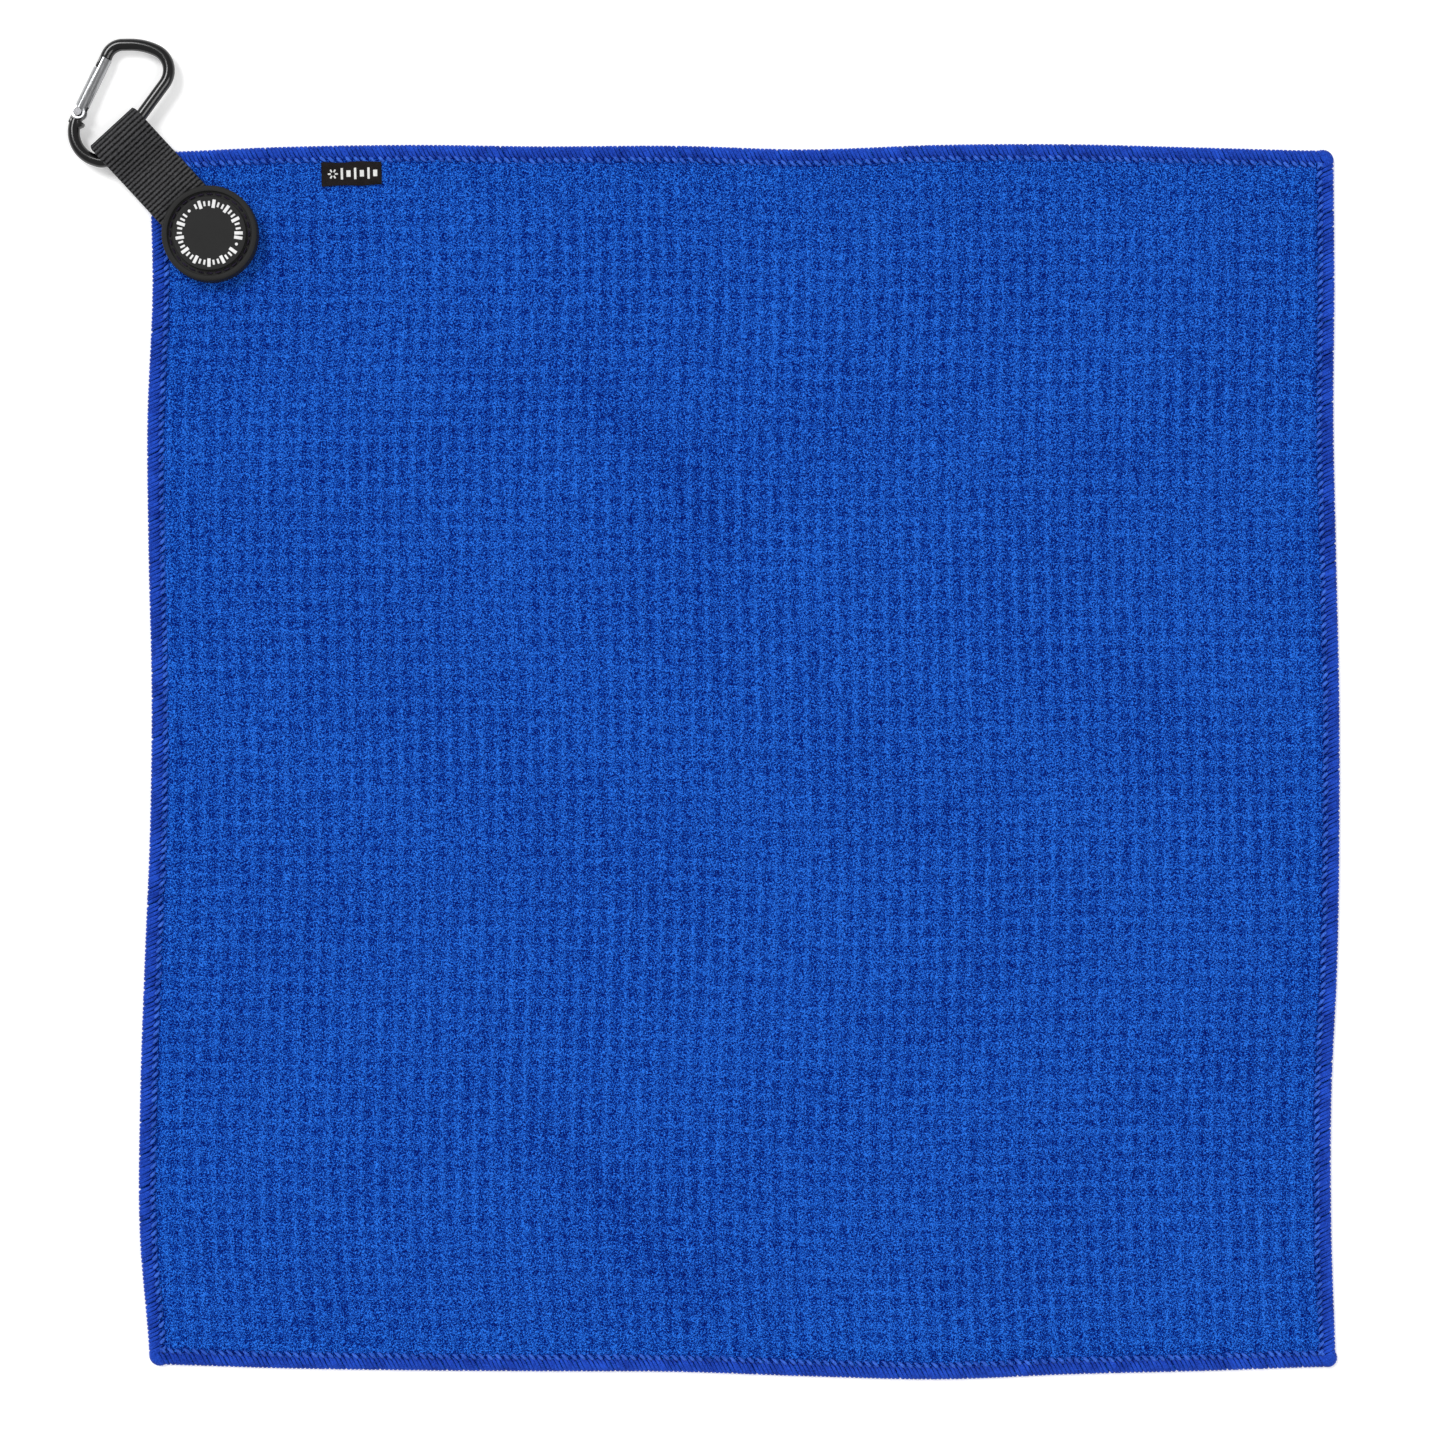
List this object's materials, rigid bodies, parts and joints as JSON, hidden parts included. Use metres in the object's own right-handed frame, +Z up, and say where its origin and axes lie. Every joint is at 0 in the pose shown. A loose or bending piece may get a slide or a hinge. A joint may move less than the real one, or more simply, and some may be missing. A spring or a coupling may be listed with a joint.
{
  "type": "golf towel",
  "caption": "Square waffle-weave golf towel with serged edges, a stitched magnet patch, a webbing strap and a spring-gate carabiner.",
  "frame": {"origin": "centre of the towel's underside, on the plane of the surface it lies on", "axes": "+Z up out of the face that carries the patch, +Y towards the hem with the label, +X along that hem away from the patch"},
  "size_m": [0.4215, 0.4444, 0.0094],
  "materials": {
    "waffle_cloth": "royal blue microfibre waffle weave with fine pile",
    "hem_thread": "royal blue textured overlock thread, slightly violet",
    "label_weave": null,
    "webbing": "black ribbed polyester webbing",
    "patch_rubber": "matt charcoal moulded rubber",
    "magnet_plating": "nickel-plated magnet",
    "backing_film": "black plastic disc",
    "black_thread": "black sewing thread",
    "anodised_black": "glossy black anodised aluminium",
    "gate_metal": "bright drawn aluminium",
    "spring_steel": "plain steel"
  },
  "bodies": {
    "towel": {"towel_cloth": "waffle_cloth", "overlock_top": "hem_thread", "overlock_right": "hem_thread", "overlock_bottom": "hem_thread", "overlock_left": "hem_thread", "needle_thread_top": "hem_thread", "needle_thread_right": "hem_thread", "needle_thread_bottom": "hem_thread", "needle_thread_left": "hem_thread", "woven_label": "label_weave", "strap_tail": "webbing", "patch_body": "patch_rubber", "magnet": "magnet_plating", "magnet_cover": "backing_film", "patch_needle_thread": "black_thread", "patch_bobbin_thread": "black_thread"},
    "strap": {"strap_loop": "webbing"},
    "carabiner": {"carabiner_body": "anodised_black", "gate_rivet": "spring_steel"},
    "gate": {"carabiner_gate": "gate_metal", "gate_spring": "spring_steel"},
    "plunger": {"spring_plunger": "spring_steel"}
  },
  "joints": [
    {"name": "strap_bend", "type": "hinge", "parent": "towel", "child": "strap", "pos_m": [-0.1902, 0.19068, 0.0038], "axis": [0.7361, 0.6769, 0], "range_deg": [0, 100]},
    {"name": "carabiner_swing", "type": "hinge", "parent": "strap", "child": "carabiner", "pos_m": [-0.20498, 0.20675, 0.0047], "axis": [0.6947, 0.7193, 0], "range_deg": [-120, 120]},
    {"name": "gate_hinge", "type": "hinge", "parent": "carabiner", "child": "gate", "pos_m": [-0.21972, 0.2157, 0.00306], "axis": [0.07, -0.0676, -0.9953], "range_deg": [0, 50], "stiffness_Nm_per_rad": 0.01, "springref_deg": -17.19},
    {"name": "plunger_slide", "type": "slide", "parent": "gate", "child": "plunger", "axis": [0.4291, 0.9027, -0.0311], "range_m": [0, 0.0005]}
  ],
  "couplings": [
    {"joint": "plunger_slide", "follows": "gate_hinge", "m_per_rad": 0.00057}
  ]
}
